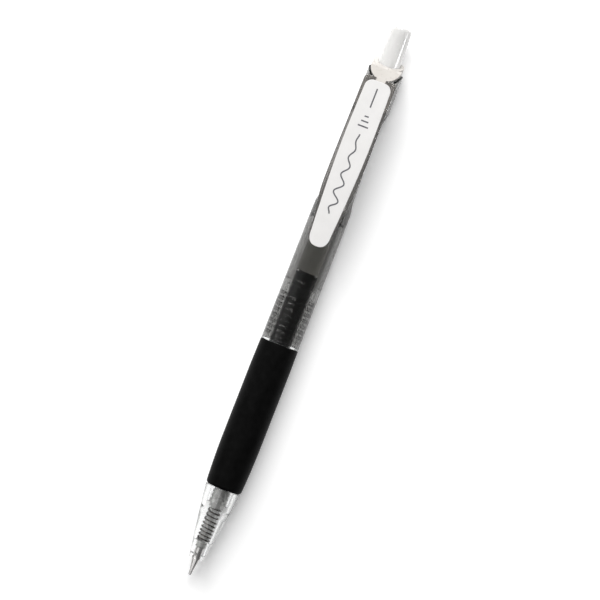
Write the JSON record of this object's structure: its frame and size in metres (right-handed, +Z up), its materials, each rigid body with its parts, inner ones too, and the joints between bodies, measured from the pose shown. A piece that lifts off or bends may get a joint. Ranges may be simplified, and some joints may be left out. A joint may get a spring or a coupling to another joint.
{
  "type": "retractable gel pen",
  "caption": "Retractable gel pen with a clear nose, rubber grip, smoke barrel, pocket clip with a white plate, push button and a working click mechanism.",
  "frame": {"origin": "bottom centre of the pen's box, on the surface that the pen lies on with its clip up and its point out", "axes": "+X along the pen from the writing point to the push button, +Z up from the surface through the pocket clip, +Y across"},
  "size_m": [0.148, 0.0102, 0.0123],
  "materials": {
    "clear_plastic": "clear moulded, gloss",
    "grip_rubber": "smooth soft rubber, satin",
    "smoke_plastic": "smoke tinted, transparent, gloss",
    "guide_plastic": "self-lubricating plastic, satin",
    "white_plastic": "milky white moulded, satin",
    "plate_plastic": "white moulded, satin",
    "milky_plastic": "milky translucent, gloss",
    "spring_steel": "drawn spring wire",
    "tube_plastic": "clear extruded tube, gloss",
    "black_ink": "black gel ink, wet gloss",
    "follower_grease": "clear grease",
    "holder_plastic": "clear moulded, gloss",
    "point_steel": "turned stainless steel, bright",
    "ball_metal": "polished hard metal"
  },
  "bodies": {
    "root": {"barrel": "smoke_plastic", "front_section": "clear_plastic", "grip": "grip_rubber", "cam_guide": "guide_plastic", "top_collar": "white_plastic", "spring": "spring_steel"},
    "refill": {"refill_tube": "tube_plastic", "refill_plug": "white_plastic", "refill_ink": "black_ink", "ink_follower": "follower_grease", "tip_holder": "holder_plastic", "writing_point": "point_steel"},
    "button": {"push_button": "milky_plastic"},
    "rotor": {"rotor": "guide_plastic"},
    "clip": {"clip_arm": "smoke_plastic", "clip_plate": "plate_plastic"},
    "ball": {"writing_ball": "ball_metal"}
  },
  "joints": [
    {"name": "button_slide", "type": "slide", "parent": "root", "child": "button", "axis": [-1, 0, 0], "range_m": [-0.0053, 0.0011]},
    {"name": "refill_slide", "type": "slide", "parent": "root", "child": "refill", "axis": [-1, 0, 0], "range_m": [-0.0053, 0.0011], "deforming": ["spring"]},
    {"name": "rotor_turn", "type": "hinge", "parent": "refill", "child": "rotor", "pos_m": [0.048, 0, 0.0051], "axis": [1, 0, 0], "continuous": true},
    {"name": "clip_flex", "type": "hinge", "parent": "root", "child": "clip", "pos_m": [0.0516, 0, 0.0116], "axis": [0, 1, 0], "range_deg": [0, 4], "stiffness_Nm_per_rad": 3, "springref_deg": -0.57},
    {"name": "ball_roll", "type": "hinge", "parent": "refill", "child": "ball", "pos_m": [-0.07365, 0, 0.0051], "axis": [0, 1, 0], "continuous": true}
  ],
  "couplings": [
    {"joint": "refill_slide", "follows": "button_slide", "ratio": 1}
  ]
}
